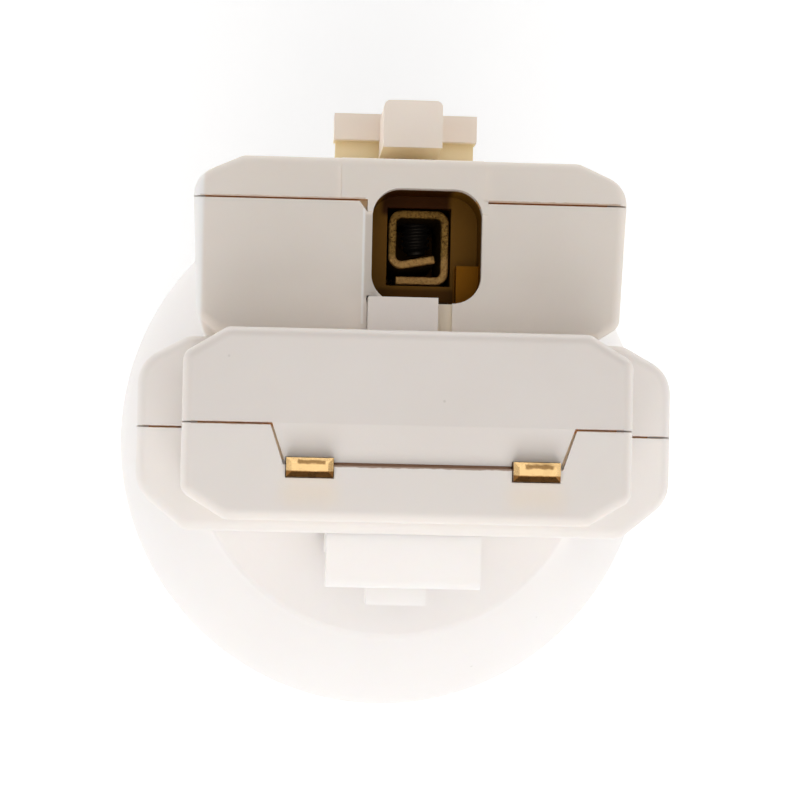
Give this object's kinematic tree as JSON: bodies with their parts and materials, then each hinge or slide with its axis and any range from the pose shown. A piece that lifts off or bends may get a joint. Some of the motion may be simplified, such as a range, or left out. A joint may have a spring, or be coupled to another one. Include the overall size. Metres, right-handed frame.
{
  "type": "plug-in lamp holder",
  "caption": "White moulded lamp holder with a flat plug on its back, squeeze latches and a screw thread for a lamp cap.",
  "frame": {"origin": "centre of the lamp thread's mouth", "axes": "+Z along the lamp axis towards the plug's front, X along the plug's width, +Y towards the earth block"},
  "size_m": [0.041, 0.0433, 0.0747],
  "materials": {
    "shell_plastic": "satin moulded plastic",
    "skirt_plastic": "satin moulded plastic",
    "insert_plastic": "satin moulded plastic",
    "blade_brass": "polished",
    "contact_brass": "dull, rough sheared edges",
    "spring_bronze": "rolled strip",
    "steel": "zinc plated"
  },
  "bodies": {
    "holder": {"skirt": "skirt_plastic", "dome": "skirt_plastic", "thread_insert": "insert_plastic", "contact_base": "insert_plastic", "plug_lower_shell": "shell_plastic", "plug_upper_shell": "shell_plastic", "earth_body": "shell_plastic", "earth_cover": "shell_plastic", "line_blade": "blade_brass", "neutral_blade": "blade_brass", "earth_contact": "contact_brass", "earth_screw": "steel", "top_latch_spring": "steel", "bottom_latch_spring": "steel", "shell_contact": "spring_bronze", "contact_rivets": "contact_brass"},
    "top_latch": {"top_latch": "shell_plastic"},
    "bottom_latch": {"bottom_latch": "shell_plastic"},
    "lamp_contact": {"centre_tip": "blade_brass", "centre_contact": "spring_bronze"}
  },
  "joints": [
    {"name": "top_latch_press", "type": "hinge", "parent": "holder", "child": "top_latch", "pos_m": [0.0003, 0.0196, 0.0462], "axis": [1, 0, 0], "range_deg": [0, 4], "stiffness_Nm_per_rad": 0.3, "deforming": ["top_latch_spring"]},
    {"name": "bottom_latch_press", "type": "hinge", "parent": "holder", "child": "bottom_latch", "pos_m": [0.0003, -0.0076, 0.0462], "axis": [-1, 0, 0], "range_deg": [0, 5], "stiffness_Nm_per_rad": 0.3, "deforming": ["bottom_latch_spring"]},
    {"name": "centre_contact_press", "type": "hinge", "parent": "holder", "child": "lamp_contact", "pos_m": [-0.0059, 0, 0.02475], "axis": [0, -1, 0], "range_deg": [0, 15], "stiffness_Nm_per_rad": 0.045, "deforming": ["centre_contact"]}
  ]
}
